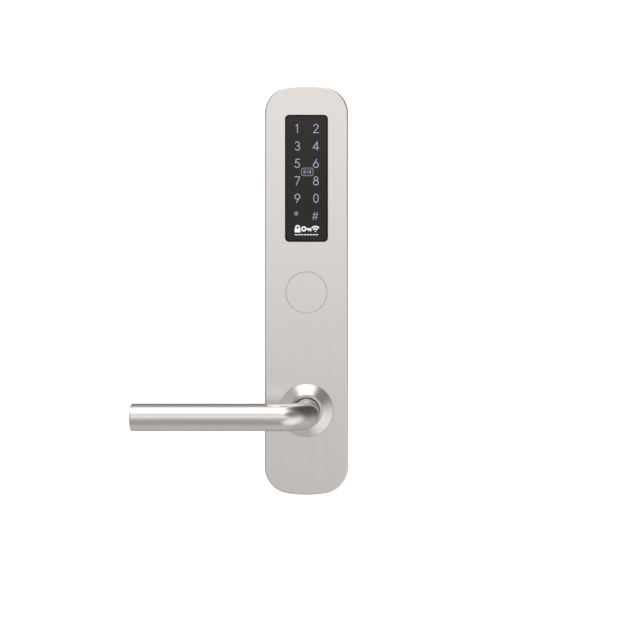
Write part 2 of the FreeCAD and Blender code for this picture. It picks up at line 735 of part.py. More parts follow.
def build_cover():
    around = [polar("13.4", angle) for angle in DOG_ANGLES]
    lid_back = HOUSING_FRONT + " + 0.05"
    lid = new_body("key_cover", "cover_height")
    turned(lid, [
        ("0", "18.6"), ("11.5", "18.6"), ("11.8", "18.9"), ("11.8", lid_back),
        ("cover_radius", lid_back), ("cover_radius", PLATE_FRONT + " - 0.2"),
        ("cover_radius - 0.2", PLATE_FRONT), ("0", PLATE_FRONT),
    ])
    cut(lid, lid_back, "21.3", circles(around, "1.54"))
    cut(lid, "18.6", "20.4", disc("10.3"))
    magnets = new_body("cover_magnets", "cover_height")
    pad(magnets, lid_back, "21.25", circles(around, "1.5"))
    seat = new_body("cover_seat", "cover_height")
    turned(seat, [
        ("12", WALL_BACK + " + 0.02"), ("16.4", WALL_BACK + " + 0.02"),
        ("16.4", HOUSING_FRONT + " - 0.02"), ("12.3", HOUSING_FRONT + " - 0.02"),
        ("12", HOUSING_FRONT + " - 0.32"),
    ])


# ---------------------------------------------------------------- handle

def build_handle():
    rose = new_body("handle_rose")
    base = PLATE_FRONT + " + 0.03"
    lip = "(%s + rose_height)" % PLATE_FRONT
    turned(rose, [
        ("rose_radius - 1.8", base), ("rose_radius", base), ("rose_radius", base + " + 0.9"),
        ("rose_lip_radius + 0.15", lip + " - 0.35"), ("rose_lip_radius - 0.1", lip),
        ("rose_bore + 0.3", lip), ("rose_bore", lip + " - 0.3"), ("rose_bore", lip + " - 1.8"),
        ("rose_lip_radius - 1.2", lip + " - 1.8"), ("rose_radius - 1.8", base + " + 0.9"),
    ])

    bush = new_body("neck_bush")
    running = "tube_radius + 0.06"
    turned(bush, [
        (running, "20.1"), ("handle_hole - 0.2", "20.1"), ("handle_hole - 0.2", "22.1"),
        ("14.5", "22.1"), ("14.5", "23.3"), ("handle_hole - 0.2", "23.3"),
        ("handle_hole - 0.2", "24.2"), ("handle_hole - 1.7", "25.2"), (running, "25.2"),
    ])

    tube = new_body("lever_tube")
    path = new_sketch(tube, "XY_Plane", "0")
    reach, bend, length = size("lever_reach"), size("bend_radius"), size("lever_length")
    path.addGeometry(Part.LineSegment(flat(0, -size("neck_back")), flat(0, bend - reach)))
    arc(path, -bend, bend - reach, bend, -math.pi / 2, 0)
    path.addGeometry(Part.LineSegment(flat(-bend, -reach), flat(-length, -reach)))
    path.addConstraint(Sketcher.Constraint("Tangent", 0, 2, 1, 2))
    path.addConstraint(Sketcher.Constraint("Tangent", 1, 1, 2, 1))
    path.addConstraint(Sketcher.Constraint("Vertical", 0))
    path.addConstraint(Sketcher.Constraint("Horizontal", 2))
    bound(path, "Radius", 1, to="bend_radius")
    pin_point(path, 0, 1, "0", "-neck_back")
    pin_point(path, 2, 2, "-lever_length", "-lever_reach")
    section = new_sketch(tube, "XZ_Plane", "neck_back")
    circle(section, "0", "0", "tube_radius")
    circle(section, "0", "0", "tube_radius - tube_wall")
    pipe = tube.newObject("PartDesign::AdditivePipe", "lever_tube_pipe")
    pipe.Profile = section
    pipe.Spine = (path, ["Edge1", "Edge2", "Edge3"])
    doc.recompute()
    dressed(tube, "Chamfer", "0.4", lambda edge: (
        abs(edge.BoundBox.XMin + length) < 1e-3 and abs(edge.BoundBox.XMax + length) < 1e-3
        and edge.BoundBox.ZLength > 2 * size("tube_radius") - 0.1))
    side_feature(tube, "Pocket", "XY_Plane", "0", "tube_radius + 1", disc("2.55", "-41"))

    insert = new_body("neck_insert")
    pad(insert, "21.5", "48", disc("tube_radius - tube_wall - 0.03"))
    cut(insert, "21.5", "46", lambda sketch: square(sketch, "hub_square + 0.06"))
    side_feature(insert, "Pocket", "XY_Plane", "0", "tube_radius", disc("2.52", "-41"))

    grub = new_body("lever_set_screw")
    tip = "-hub_square / 2 - 0.05"
    side_feature(grub, "Pad", "XY_Plane", "-9.1", "9.1 + " + tip, disc("2.48", "-41"))
    side_feature(grub, "Pocket", "XY_Plane", tip + " - 1.5", "5",
                 lambda sketch: rounded_slot(sketch, "0", "-41", "2.9"))

    cap = new_body("lever_end_cap")
    side_feature(cap, "Pad", "YZ_Plane", "-lever_length + 0.2", "2.4",
                 lambda sketch: circle(sketch, "-lever_reach", "0", "tube_radius - tube_wall - 0.03"))


def build_hub():
    hub = new_body("drive_hub")
    pad(hub, "disc_back", "disc_front", disc("disc_radius"))
    pad(hub, "disc_front", "21", disc("7"))
    pad(hub, "21", "45.5", lambda sketch: square(sketch, "hub_square"))
    for angle in DOG_ANGLES:
        points = turned_box("dog_circle", angle, "4.6", "5.6")
        cut(hub, "disc_back", "disc_front", lambda sketch: polygon(sketch, points))
    ear = turned_box("14.4", STOP_EAR_ANGLE, "3.6", "3")
    pad(hub, "disc_front", "disc_front + 2.4", lambda sketch: polygon(sketch, ear))

    bush = new_body("hub_bush")
    turned(bush, [
        ("7.06", "17.3"), ("12.4", "17.3"), ("12.4", WALL_BACK + " - 0.02"),
        ("9.97", WALL_BACK + " - 0.02"), ("9.97", HOUSING_FRONT), ("7.06", HOUSING_FRONT),
    ])

    pins = new_body("stop_pins")
    stops = [polar(str(STOP_CIRCLE), angle) for angle in STOP_PIN_ANGLES]
    pad(pins, "disc_front + 0.5", "19.5", circles(stops, "1.5"))
    dressed(pins, "Chamfer", "0.3", lies_at("disc_front + 0.5"))

    shaped("return_spring", coil(9.2, 0.55, 1.1, 1.75, 14.75, -125))


def build_clutch():
    ring = new_body("clutch_ring")
    pad(ring, "ring_back", "ring_front", disc("15"))
    pad(ring, "ring_back", "ring_back + 1", disc("ring_flange"))
    for angle in DOG_ANGLES:
        points = turned_box("dog_circle", angle, "4", "5")
        pad(ring, "ring_front", "ring_front + dog_height", lambda sketch: polygon(sketch, points))
    cut(ring, "ring_back", "ring_back + 1.8", disc("11.5"))
    cut(ring, "ring_back", "ring_front", lambda sketch: square(sketch, "driver_square + 0.12"))

    shaped("clutch_spring", coil(10.6, 0.3, 1.05, 3, 6.75))

    driver = new_body("spindle_driver")
    pad(driver, "gasket_thick + 0.1", "3.6", disc("9.5"))
    pad(driver, "3.6", "6.4", disc("driver_flange"))
    pad(driver, "6.4", "driver_front", lambda sketch: square(sketch, "driver_square"))
    cut(driver, "gasket_thick + 0.1", "driver_front",
        lambda sketch: square(sketch, "spindle_square + 0.1"))
    side_feature(driver, "Pocket", "YZ_Plane", "driver_flange + 1", "2 * driver_flange + 2",
                 lambda sketch: circle(sketch, "-5", "0", "1.05"))

    bar = new_body("spindle")
    pad(bar, "spindle_end", "11", lambda sketch: square(sketch, "spindle_square"))
    dressed(bar, "Chamfer", "0.6", lies_at("spindle_end"))
    side_feature(bar, "Pocket", "YZ_Plane", "spindle_square", "2 * spindle_square",
                 lambda sketch: circle(sketch, "-5", "0", "1.05"))

    cross = new_body("spindle_pin")
    side_feature(cross, "Pad", "YZ_Plane", "-driver_flange + 0.6", "2 * driver_flange - 1.2",
                 lambda sketch: circle(sketch, "-5", "0", "1"))


def build_drive():
    fork = new_body("clutch_fork")
    inner, outer = "9.65", "13.6"
    arm_in, arm_out = "disc_radius + 0.6", "disc_radius + 3.5"
    pad(fork, inner, outer, box(minus(arm_out), "22", arm_out, "26"))
    for side in SIDES:
        near, far = sorted((signed(side, arm_in), signed(side, arm_out)), key=size)
        pad(fork, inner, outer, box(near, "-8", far, "22"))
        side_feature(fork, "Pad", "YZ_Plane", near, "2.9", lambda sketch: polygon(sketch, [
            ("-9.65", "7.4"), ("-9.65", "16"), ("-9.65 + ring_travel", "16"),
            ("-9.65 + ring_travel", "7.4 + fork_travel")]))
    side_feature(fork, "Pocket", "XY_Plane", "27", "6",
                 lambda sketch: circle(sketch, "0", "-screw_line", "1.5 + slide_gap"))

    gears = new_body("motor_gearbox")
    pad(gears, "screw_line - 5", "screw_line + 5", box("-6", "36", "6", "45"))
    side_feature(gears, "Pocket", "XY_Plane", "45", "9",
                 lambda sketch: circle(sketch, "0", "-screw_line", "1.56"))

    motor = new_body("clutch_motor")
    side_feature(motor, "Pad", "XY_Plane", "45.05", "15", lambda sketch: rounded(
        sketch, "-screw_line", "12", "10", "4.6"))
    side_feature(motor, "Pad", "XY_Plane", "60.05", "0.8",
                 lambda sketch: circle(sketch, "0", "-screw_line", "2.5"))
    cut(motor, "screw_line - 0.7", "screw_line + 0.7", box("-5.6", "59.4", "-0.9", "60.2"))

    lead = new_body("motor_screw")
    side_feature(lead, "Pad", "XY_Plane", "18.6", "25.4",
                 lambda sketch: circle(sketch, "0", "-screw_line", "1.5"))
    side_feature(lead, "Pad", "XY_Plane", "32", "3.6",
                 lambda sketch: circle(sketch, "0", "-screw_line", "2.6"))

    strap = new_body("motor_bracket")
    pad(strap, "screw_line - 6.4", WALL_BACK + " - 0.02", box("-7.6", "37", "7.6", "43"))
    cut(strap, "screw_line - 5.03", WALL_BACK + " - 0.02", box("-6.04", "36", "6.04", "44"))
    for side in SIDES:
        near, far = sorted((signed(side, "7"), signed(side, "14")), key=size)
        pad(strap, "16.4", WALL_BACK + " - 0.02", box(near, "37", far, "43"))
    cut(strap, "16.4", WALL_BACK + " - 0.02", circles(grid("11", ["40"]), "1.35"))
    screws("bracket_screws", grid("11", ["40"]), "16.4", "2.2", "1.5", "1.25", "19.5")

    switch = new_body("hub_switch")
    pad(switch, "12", WALL_BACK, box("-6.4", "-34", "6.4", "-27.5"))
    pad(switch, "14", "16", box("1", "-27.5", "3", "-26"))
    blade = new_body("switch_blade")
    pad(blade, "13", "17", lambda sketch: polygon(sketch, [
        ("-6", "-27.4"), ("-5.6", "-27.4"), ("-5.2", "-25.6"), ("5.6", "-21.2"), ("5.4", "-20.8"),
        ("-5.6", "-25.3")]))


def main():
    build_face_plate()
    build_plate_nuts()
    build_housing()
    build_back()
    build_keypad()
    build_electronics()
    build_cylinder()
    build_cover()
    build_handle()
    build_hub()
    build_clutch()
    build_drive()
    doc.recompute()
    for item in doc.Objects:
        if "Invalid" in item.State or "Error" in item.State:
            raise RuntimeError("%s is %s" % (item.Name, item.State))
    os.makedirs("parts", exist_ok=True)
    for node in nodes:
        if node.Shape.isNull() or not node.Shape.isValid():
            raise RuntimeError("bad shape: " + node.Label)
        node.Shape.exportStep("parts/%s.step" % node.Label)
    print("nodes written:", len(nodes))


main()
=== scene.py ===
import math

import bmesh
import bpy
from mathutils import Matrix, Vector


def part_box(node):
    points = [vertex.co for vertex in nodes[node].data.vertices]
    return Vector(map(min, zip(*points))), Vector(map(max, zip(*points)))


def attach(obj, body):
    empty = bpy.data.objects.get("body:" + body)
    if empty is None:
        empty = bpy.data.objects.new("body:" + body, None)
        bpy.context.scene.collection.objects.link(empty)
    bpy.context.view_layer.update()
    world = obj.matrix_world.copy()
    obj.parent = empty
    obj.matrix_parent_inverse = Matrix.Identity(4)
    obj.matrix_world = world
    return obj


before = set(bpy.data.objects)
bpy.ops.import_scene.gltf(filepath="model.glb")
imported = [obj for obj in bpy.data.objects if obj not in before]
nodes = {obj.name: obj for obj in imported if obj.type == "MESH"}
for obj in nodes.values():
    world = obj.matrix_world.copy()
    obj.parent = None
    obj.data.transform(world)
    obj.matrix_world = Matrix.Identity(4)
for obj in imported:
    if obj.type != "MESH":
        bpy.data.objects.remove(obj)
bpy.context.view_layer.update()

MM = 0.001

# ---------------------------------------------------------------- shader helpers


class Graph:
    """Adds and links the shader nodes of one material or world."""

    def __init__(self, tree):
        self.tree = tree

    def add(self, kind, **settings):
        node = self.tree.nodes.new(kind)
        for name, value in settings.items():
            setattr(node, name, value)
        return node

    def link(self, source, target):
        self.tree.links.new(source, target)

    def maths(self, operation, first, second=None, clamp=False):
        node = self.add("ShaderNodeMath", operation=operation, use_clamp=clamp)
        for slot, value in enumerate((first, second)):
            if value is None:
                continue
            if isinstance(value, (int, float)):
                node.inputs[slot].default_value = value
            else:
                self.link(value, node.inputs[slot])
        return node.outputs[0]

    def blend(self, first, second, share):
        """First where share is 0, second where it is 1."""
        gap = self.maths("SUBTRACT", second, first)
        return self.maths("ADD", first, self.maths("MULTIPLY", gap, share))

    def smooth_step(self, value, start, end):
        node = self.add("ShaderNodeMapRange", interpolation_type="SMOOTHSTEP")
        node.inputs["From Min"].default_value = start
        node.inputs["From Max"].default_value = end
        self.link(value, node.inputs["Value"])
        return node.outputs[0]

    def ramp(self, factor, stops):
        node = self.add("ShaderNodeValToRGB")
        band = node.color_ramp
        band.interpolation = "EASE"
        while len(band.elements) < len(stops):
            band.elements.new(0.5)
        for element, (place, colour) in zip(band.elements, stops):
            element.position = place
            element.color = (*colour, 1) if isinstance(colour, tuple) else (colour, colour, colour, 1)
        self.link(factor, node.inputs[0])
        return node.outputs[0]

    def streaks(self, stretch, scale, detail):
        """Noise in the object's own metres, drawn out along the axes whose stretch is small."""
        mapping = self.add("ShaderNodeMapping")
        mapping.inputs["Scale"].default_value = stretch
        self.link(self.add("ShaderNodeTexCoord").outputs["Object"], mapping.inputs["Vector"])
        noise = self.add("ShaderNodeTexNoise")
        noise.inputs["Scale"].default_value = scale
        noise.inputs["Detail"].default_value = detail
        noise.inputs["Roughness"].default_value = 0.6
        self.link(mapping.outputs[0], noise.inputs["Vector"])
        return noise.outputs["Fac"]


def material(name):
    made = bpy.data.materials.new(name)
    made.use_nodes = True
    made.node_tree.nodes.clear()
    graph = Graph(made.node_tree)
    shader = graph.add("ShaderNodeBsdfPrincipled")
    output = graph.add("ShaderNodeOutputMaterial")
    graph.link(shader.outputs[0], output.inputs[0])
    return made, graph, shader


def shade(shader, **values):
    for name, value in values.items():
        shader.inputs[name.replace("_", " ")].default_value = value


def bump(graph, shader, height, strength, distance):
    node = graph.add("ShaderNodeBump")
    node.inputs["Strength"].default_value = strength
    node.inputs["Distance"].default_value = distance
    graph.link(height, node.inputs["Height"])
    graph.link(node.outputs[0], shader.inputs["Normal"])


def surface(graph, shader, pattern, tones, roughness, spread):
    """Colour and roughness that both follow one pattern."""
    graph.link(graph.ramp(pattern, tones), shader.inputs["Base Color"])
    drift = graph.maths("MULTIPLY", graph.maths("SUBTRACT", pattern, 0.5), spread)
    graph.link(graph.maths("ADD", drift, roughness, clamp=True), shader.inputs["Roughness"])


STEEL_LOW, STEEL_HIGH = (0.778, 0.772, 0.768), (0.802, 0.796, 0.792)


def brushed_metal(name, roughness, stretch, grain, tangent, lightness=1.0, edge=1.0):
    """Steel with a directional grain; edge is how much it still reflects at a glancing angle."""
    made, graph, shader = material(name)
    shade(shader, Metallic=1.0, Anisotropic=0.3, Specular_Tint=(edge, edge, edge, 1))
    fine = graph.streaks(stretch, scale=1.0, detail=3.0)
    broad = graph.streaks(tuple(part * 0.2 for part in stretch), scale=1.0, detail=2.0)
    low, high = (tuple(part * lightness for part in tone) for tone in (STEEL_LOW, STEEL_HIGH))
    mixed = graph.blend(broad, fine, share=0.8)
    surface(graph, shader, mixed, [(0.3, low), (0.7, high)], roughness, spread=0.12)
    bump(graph, shader, fine, grain, 0.04 * MM)
    if tangent == "radial":
        node = graph.add("ShaderNodeTangent", direction_type="RADIAL", axis="Y")
        shade(shader, Anisotropic_Rotation=0.25)
    else:
        node = graph.add("ShaderNodeCombineXYZ")
        for slot, value in enumerate(tangent):
            node.inputs[slot].default_value = value
    graph.link(node.outputs[0], shader.inputs["Tangent"])
    return made


def paint_rim_shade(made, radius, width, share):
    """Painted shade: fades the colour of a round face to a share of itself over its last width, about the
    Y axis.
    """
    graph = Graph(made.node_tree)
    base = made.node_tree.nodes["Principled BSDF"].inputs["Base Color"]
    colour = base.links[0].from_socket
    parts = graph.add("ShaderNodeSeparateXYZ")
    graph.link(graph.add("ShaderNodeTexCoord").outputs["Object"], parts.inputs[0])
    squares = [graph.maths("POWER", parts.outputs[axis], 2.0) for axis in ("X", "Z")]
    distance = graph.maths("SQRT", graph.maths("ADD", *squares))
    keep = graph.ramp(graph.smooth_step(distance, radius - width, radius), [(0.0, 1.0), (1.0, share)])
    scaled = graph.add("ShaderNodeVectorMath", operation="MULTIPLY")
    graph.link(colour, scaled.inputs[0])
    graph.link(keep, scaled.inputs[1])
    graph.link(scaled.outputs[0], base)


def grained(name, low, high, roughness, scale, height, metallic=0.0):
    """Cast, painted or moulded surface with a fine even texture."""
    made, graph, shader = material(name)
    shade(shader, Metallic=metallic)
    fine = graph.streaks((1, 1, 1), scale, detail=4.0)
    broad = graph.streaks((1, 1, 1), scale * 0.04, detail=2.0)
    mixed = graph.blend(broad, fine, share=0.6)
    surface(graph, shader, mixed, [(0.3, low), (0.72, high)], roughness, spread=0.4)
    bump(graph, shader, fine, height, 0.1 * MM)
    return made


def glass_material():
    """Black-backed glass: faint haze in the depth under a clear polished face."""
    made, graph, shader = material("black_keypad_glass")
    haze = graph.streaks((1, 1, 1), scale=60, detail=3.0)
    graph.link(graph.ramp(haze, [(0.3, (0.0012, 0.0012, 0.0013)), (0.75, (0.0022, 0.0022, 0.0024))]),
               shader.inputs["Base Color"])
    smears = graph.streaks((1, 1, 2.4), scale=140, detail=4.0)
    graph.link(graph.ramp(smears, [(0.35, 0.06), (0.7, 0.12)]), shader.inputs["Roughness"])
    shade(shader, IOR=1.46)
    return made


def lit_material(name, colour):
    """Translucent legend lit from behind, a little uneven along its strokes."""
    made, graph, shader = material(name)
    glow = graph.streaks((1, 1, 1), scale=900, detail=2.0)
    dim = tuple(part * 0.85 for part in colour)
    graph.link(graph.ramp(glow, [(0.3, dim), (0.7, colour)]), shader.inputs["Emission Color"])
    shade(shader, Base_Color=(0.02, 0.02, 0.02, 1), Emission_Strength=1.0, Roughness=0.4)
    return made


# ---------------------------------------------------------------- finishes of the CAD nodes

plate_steel = brushed_metal("plate_brushed_steel", roughness=0.30, stretch=(1500, 1500, 12), grain=0.03,
                            tangent=(1, 0, 0), lightness=1.08)
# Painted shade: the lever's edge tint of 0.65 darkens its glancing reflections all round its outline,
# standing in for the contact shade along its lower edge over the plate.
lever_steel = brushed_metal("lever_brushed_steel", roughness=0.15, stretch=(14, 1100, 1100), grain=0.02,
                            tangent=(0, 0, 1), edge=0.65)
rose_steel = brushed_metal("rose_turned_steel", roughness=0.16, stretch=(300, 900, 300), grain=0.02,
                           tangent="radial")
rose_low, rose_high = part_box("handle_rose")
# Painted shade: the rose's colour is halved over its outer 0.5 mm, standing in for the contact shade
# where it meets the plate.
paint_rim_shade(rose_steel, radius=(rose_high[0] - rose_low[0]) / 2, width=0.5 * MM, share=0.5)

# Each with its darkest and lightest tone, roughness, grains per metre, bump strength and, on metals,
# how metallic it is.
cast = grained("housing_satin_cast", (0.42, 0.41, 0.40), (0.52, 0.51, 0.50), 0.42, 2600, 0.25, 0.8)
zinc = grained("zinc_plated_steel", (0.50, 0.50, 0.50), (0.66, 0.66, 0.67), 0.34, 900, 0.1, 1.0)
spring = grained("bright_spring_steel", (0.36, 0.36, 0.37), (0.52, 0.52, 0.54), 0.25, 1500, 0.08, 1.0)
brass = grained("machined_brass", (0.58, 0.42, 0.19), (0.74, 0.56, 0.28), 0.28, 1200, 0.08, 1.0)
copper = grained("etched_copper", (0.60, 0.30, 0.18), (0.76, 0.42, 0.27), 0.35, 1800, 0.08, 1.0)
foam = grained("closed_cell_foam", (0.012, 0.012, 0.014), (0.035, 0.035, 0.038), 0.85, 1800, 0.6)
black_plastic = grained("black_moulded_plastic", (0.018, 0.018, 0.019), (0.032, 0.032, 0.034),
                        0.5, 1600, 0.2)
white_plastic = grained("white_nylon", (0.62, 0.61, 0.57), (0.74, 0.73, 0.69), 0.45, 1300, 0.12)
board_green = grained("solder_resist", (0.012, 0.10, 0.045), (0.02, 0.17, 0.07), 0.3, 700, 0.1)
resin = grained("black_resin", (0.012, 0.012, 0.012), (0.03, 0.03, 0.03), 0.4, 1500, 0.15)
red_wire = grained("wire_insulation", (0.33, 0.02, 0.015), (0.48, 0.035, 0.03), 0.4, 900, 0.1)


def dress(made, *names):
    for name in names:
        slots = nodes[name].data.materials
        slots.clear()
        slots.append(made)


dress(plate_steel, "face_plate", "key_cover")
dress(lever_steel, "lever_tube", "lever_end_cap")
dress(rose_steel, "handle_rose")
dress(cast, "housing", "drive_hub")
dress(zinc, "back_plate", "back_plate_screws", "fixing_posts", "plate_nuts", "carrier_screws",
      "main_board_screws", "cylinder_screws", "cover_seat", "cover_magnets", "neck_insert",
      "clutch_ring", "spindle_driver", "spindle", "clutch_motor", "motor_bracket", "bracket_screws",
      "tailpiece")
dress(spring, "pin_springs", "plug_clip", "lever_set_screw", "stop_pins", "return_spring",
      "clutch_spring", "spindle_pin", "switch_blade")
dress(brass, "cylinder_body", "cylinder_plug", "key_pins", "driver_pins", "chamber_caps",
      "hub_bush", "motor_gearbox", "motor_screw")
dress(copper, "rfid_antenna")
dress(foam, "door_gasket", "keypad_gasket", "cable_grommet")
dress(black_plastic, "keypad_carrier")
dress(white_plastic, "neck_bush", "clutch_fork", "board_connectors", "light_guide", "ribbon_cable",
      "key_leds")
dress(board_green, "touch_board", "main_board")
dress(resin, "processor", "buzzer", "power_parts", "hub_switch")
dress(red_wire, "motor_cable")
dress(glass_material(), "keypad_glass")

# ---------------------------------------------------------------- printed strokes

glass_low, glass_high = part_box("keypad_glass")
GLASS_WIDTH = glass_high[0] - glass_low[0]
GLASS_LENGTH = glass_high[2] - glass_low[2]
GLASS_MIDDLE = (glass_low[2] + glass_high[2]) / 2
PRINT_LEVEL = glass_low[1] - 0.03 * MM
SHARP_CORNER = math.radians(50)


def arc_points(cx, cz, rx, rz, start, end, steps=20):
    """Points along an elliptical arc, in degrees anticlockwise from +X."""
    points = []
    for step in range(steps + 1):
        angle = math.radians(start + (end - start) * step / steps)
        points.append((cx + rx * math.cos(angle), cz + rz * math.sin(angle)))
    return points


def smooth_runs(points):
    """Cuts a stroke at its sharp corners, so that each run can be one even band."""
    run, runs = [points[0]], []
    for place, following in zip(points[1:], points[2:]):
        run.append(place)
        if (place - run[-2]).angle(following - place) > SHARP_CORNER:
            runs.append(run)
            run = [place]
    return runs + [run + points[-1:]]


def rim_verts(mesh, centre, radius, start, end, steps):
    angles = (start + (end - start) * step / steps for step in range(steps + 1))
    return [mesh.verts.new((centre.x + radius * math.cos(angle), PRINT_LEVEL,
                            centre.y + radius * math.sin(angle))) for angle in angles]


def round_end(mesh, place, outward, half, low, high):
    """Half disc that closes a band beyond its last two points."""
    middle = math.atan2(outward.y, outward.x)
    rim = rim_verts(mesh, place, half, middle - math.pi / 2, middle + math.pi / 2, 8)
    mesh.faces.new([low] + rim[1:-1] + [high])


def band(mesh, run, half):
    """Flat band of even width along a run, with round ends unless it closes on itself."""
    closed = (run[0] - run[-1]).length < half / 10
    if closed:
        run = run[:-1]
    steps = [(after - before).normalized() for before, after in zip(run, run[1:])]
    last = (run[0] - run[-1]).normalized() if closed else steps[-1]
    first = last if closed else steps[0]
    rails = []
    for place, came, goes in zip(run, [first] + steps, steps + [last]):
        along = (came + goes).normalized()
        across = Vector((-along.y, along.x)) * (half / along.dot(goes))
        rails.append([mesh.verts.new((side.x, PRINT_LEVEL, side.y))
                      for side in (place - across, place + across)])
    following = rails[1:] + (rails[:1] if closed else [])
    for (low, high), (next_low, next_high) in zip(rails, following):
        mesh.faces.new((low, next_low, next_high, high))
    if not closed:
        round_end(mesh, run[0], -steps[0], half, *reversed(rails[0]))
        round_end(mesh, run[-1], steps[-1], half, *rails[-1])


def stroke(mesh, points, width):
    """One printed stroke, or a round dot where it has a single point."""
    places = [Vector(point) for point in points]
    if len(places) == 1:
        mesh.faces.new(rim_verts(mesh, places[0], width / 2, 0, 2 * math.pi, 12)[:-1])
        return
    for run in smooth_runs(places):
        band(mesh, run, width / 2)


def printed(name, strokes, width, made):
    """One printed piece from strokes given in metres on the glass."""
    mesh = bmesh.new()
    for points in strokes:
        stroke(mesh, points, width)
    unused = [vert for vert in mesh.verts if not vert.link_faces]
    bmesh.ops.delete(mesh, geom=unused, context="VERTS")
    mesh.normal_update()
    for face in mesh.faces:
        if face.normal.y > 0:
            face.normal_flip()
    data = bpy.data.meshes.new(name)
    mesh.to_mesh(data)
    mesh.free()
    data.materials.append(made)
    piece = bpy.data.objects.new(name, data)
    bpy.context.scene.collection.objects.link(piece)
    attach(piece, "escutcheon")


def placed(strokes, cx, cz, unit):
    """Strokes drawn in a unit of their own, at their size and place on the glass."""
    return [[(cx + x * unit, cz + z * unit) for x, z in points] for points in strokes]


def rounded_loop(cx, cz, width, height, corner):
    points = []
    for side, rise, turn in ((1, 1, 0), (-1, 1, 90), (-1, -1, 180), (1, -1, 270)):
        points += arc_points(cx + side * (width / 2 - corner), cz + rise * (height / 2 - corner),
                             corner, corner, turn, turn + 90, 6)
    return points + points[:1]


# ---------------------------------------------------------------- lit keys

# Strokes of each legend in a box one unit high, centred on the middle of the character.
GLYPHS = {
    "1": [[(-0.16, 0.34), (0.02, 0.5), (0.02, -0.5)]],
    "2": [arc_points(0, 0.24, 0.27, 0.26, 170, -38) + [(-0.3, -0.5), (0.31, -0.5)]],
    "3": [arc_points(0, 0.25, 0.24, 0.25, 155, -90), arc_points(0, -0.23, 0.28, 0.27, 90, -155)],
    "4": [[(0.16, -0.5), (0.16, 0.5), (-0.34, -0.24), (0.34, -0.24)]],
    "5": [[(0.26, 0.5), (-0.14, 0.5), (-0.22, 0.07)] + arc_points(-0.02, -0.18, 0.3, 0.31, 125, -150)],
    "6": [[(0.1, 0.5), (-0.24, -0.06)], arc_points(0, -0.2, 0.3, 0.3, 0, 360, 36)],
    "7": [[(-0.28, 0.5), (0.3, 0.5), (-0.12, -0.5)]],
    "8": [arc_points(0, 0.27, 0.22, 0.23, 0, 360, 32), arc_points(0, -0.22, 0.29, 0.28, 0, 360, 36)],
    "9": [[(-0.1, -0.5), (0.24, 0.06)], arc_points(0, 0.2, 0.3, 0.3, 0, 360, 36)],
    "0": [arc_points(0, 0, 0.28, 0.5, 0, 360, 44)],
}
STAR = [[(0, -0.28), (0, 0.28)], [(-0.24, -0.14), (0.24, 0.14)], [(-0.24, 0.14), (0.24, -0.14)]]
HASH = [[(-0.25, -0.52), (-0.01, 0.52)], [(0.11, -0.52), (0.35, 0.52)],
        [(-0.28, 0.19), (0.41, 0.19)], [(-0.35, -0.2), (0.34, -0.2)]]

LEGEND_ROWS = ("12", "34", "56", "78", "90")
LEGEND_TOP = GLASS_MIDDLE + 36.95 * MM
LEGEND_PITCH = 12.94 * MM
LEGEND_COLUMN = 6.9 * MM
LEGEND_HEIGHT = 6.15 * MM
LEGEND_STROKE = 0.6 * MM
LEGEND_MIDDLE = 0.1 * MM
LAST_ROW = LEGEND_TOP - len(LEGEND_ROWS) * LEGEND_PITCH
STAR_X, STAR_RISE, STAR_STROKE = -7.65 * MM, 1.6 * MM, 0.36 * MM
HASH_X, HASH_DROP, HASH_HEIGHT, HASH_STROKE = 6.25 * MM, 0.1 * MM, 5.5 * MM, 0.42 * MM

digits = []
for row, pair in enumerate(LEGEND_ROWS):
    for side, character in zip((-1, 1), pair):
        digits += placed(GLYPHS[character], LEGEND_MIDDLE + side * LEGEND_COLUMN,
                         LEGEND_TOP - row * LEGEND_PITCH, LEGEND_HEIGHT)
lavender = lit_material("lit_lavender", (0.42, 0.42, 0.60))
printed("key_legends", digits, LEGEND_STROKE, lavender)
printed("star_legend", placed(STAR, STAR_X, LAST_ROW + STAR_RISE, LEGEND_HEIGHT), STAR_STROKE, lavender)
printed("hash_legend", placed(HASH, HASH_X, LAST_ROW - HASH_DROP, HASH_HEIGHT), HASH_STROKE, lavender)

# ---------------------------------------------------------------- border and symbols on the glass

# Matt black border, whose band stands a little inside the edge of the glass.
BORDER_WIDTH = 0.8 * MM
BORDER_INSET = 1.3 * BORDER_WIDTH
BORDER_CORNER = 2.4 * MM
border_ink = grained("black_border_ink", (0.003, 0.003, 0.003), (0.006, 0.006, 0.006), 0.6, 2000, 0.05)
shade(border_ink.node_tree.nodes["Principled BSDF"], Specular_IOR_Level=0.1)
border = rounded_loop(0.0, GLASS_MIDDLE, GLASS_WIDTH - BORDER_INSET, GLASS_LENGTH - BORDER_INSET,
                      BORDER_CORNER)
printed("glass_border", [border], BORDER_WIDTH, border_ink)

# Reader symbol between the middle rows: an outlined card with two rows of dots, and two waves on
# each side of a bar.
CARD_X, CARD_Z = 0.6 * MM, GLASS_MIDDLE + 4.8 * MM
CARD_WIDTH, CARD_HEIGHT, CARD_CORNER = 8.6 * MM, 5.6 * MM, 1.4 * MM
CARD_STROKE, MARK_STROKE = 0.5 * MM, 0.45 * MM
DOT_PITCH, DOT_RISE = 1.3 * MM, 1.7 * MM
WAVE_RADII = (1.5 * MM, 2.5 * MM)
BAR_HALF = 0.6 * MM
card_grey = lit_material("lit_card_grey", (0.26, 0.26, 0.34))
printed("card_symbol_outline", [rounded_loop(CARD_X, CARD_Z, CARD_WIDTH, CARD_HEIGHT, CARD_CORNER)],
        CARD_STROKE, card_grey)
card_dots = [[(CARD_X + across * DOT_PITCH, CARD_Z + side * DOT_RISE)]
             for across in range(-2, 3) for side in (1, -1)]
printed("card_symbol_dots", card_dots, CARD_STROKE, card_grey)
card_marks = [arc_points(CARD_X, CARD_Z, radius, radius, middle - 30, middle + 30, 6)
              for radius in WAVE_RADII for middle in (180, 0)]
card_marks.append([(CARD_X, CARD_Z - BAR_HALF), (CARD_X, CARD_Z + BAR_HALF)])
printed("card_symbol_marks", card_marks, MARK_STROKE, lavender)

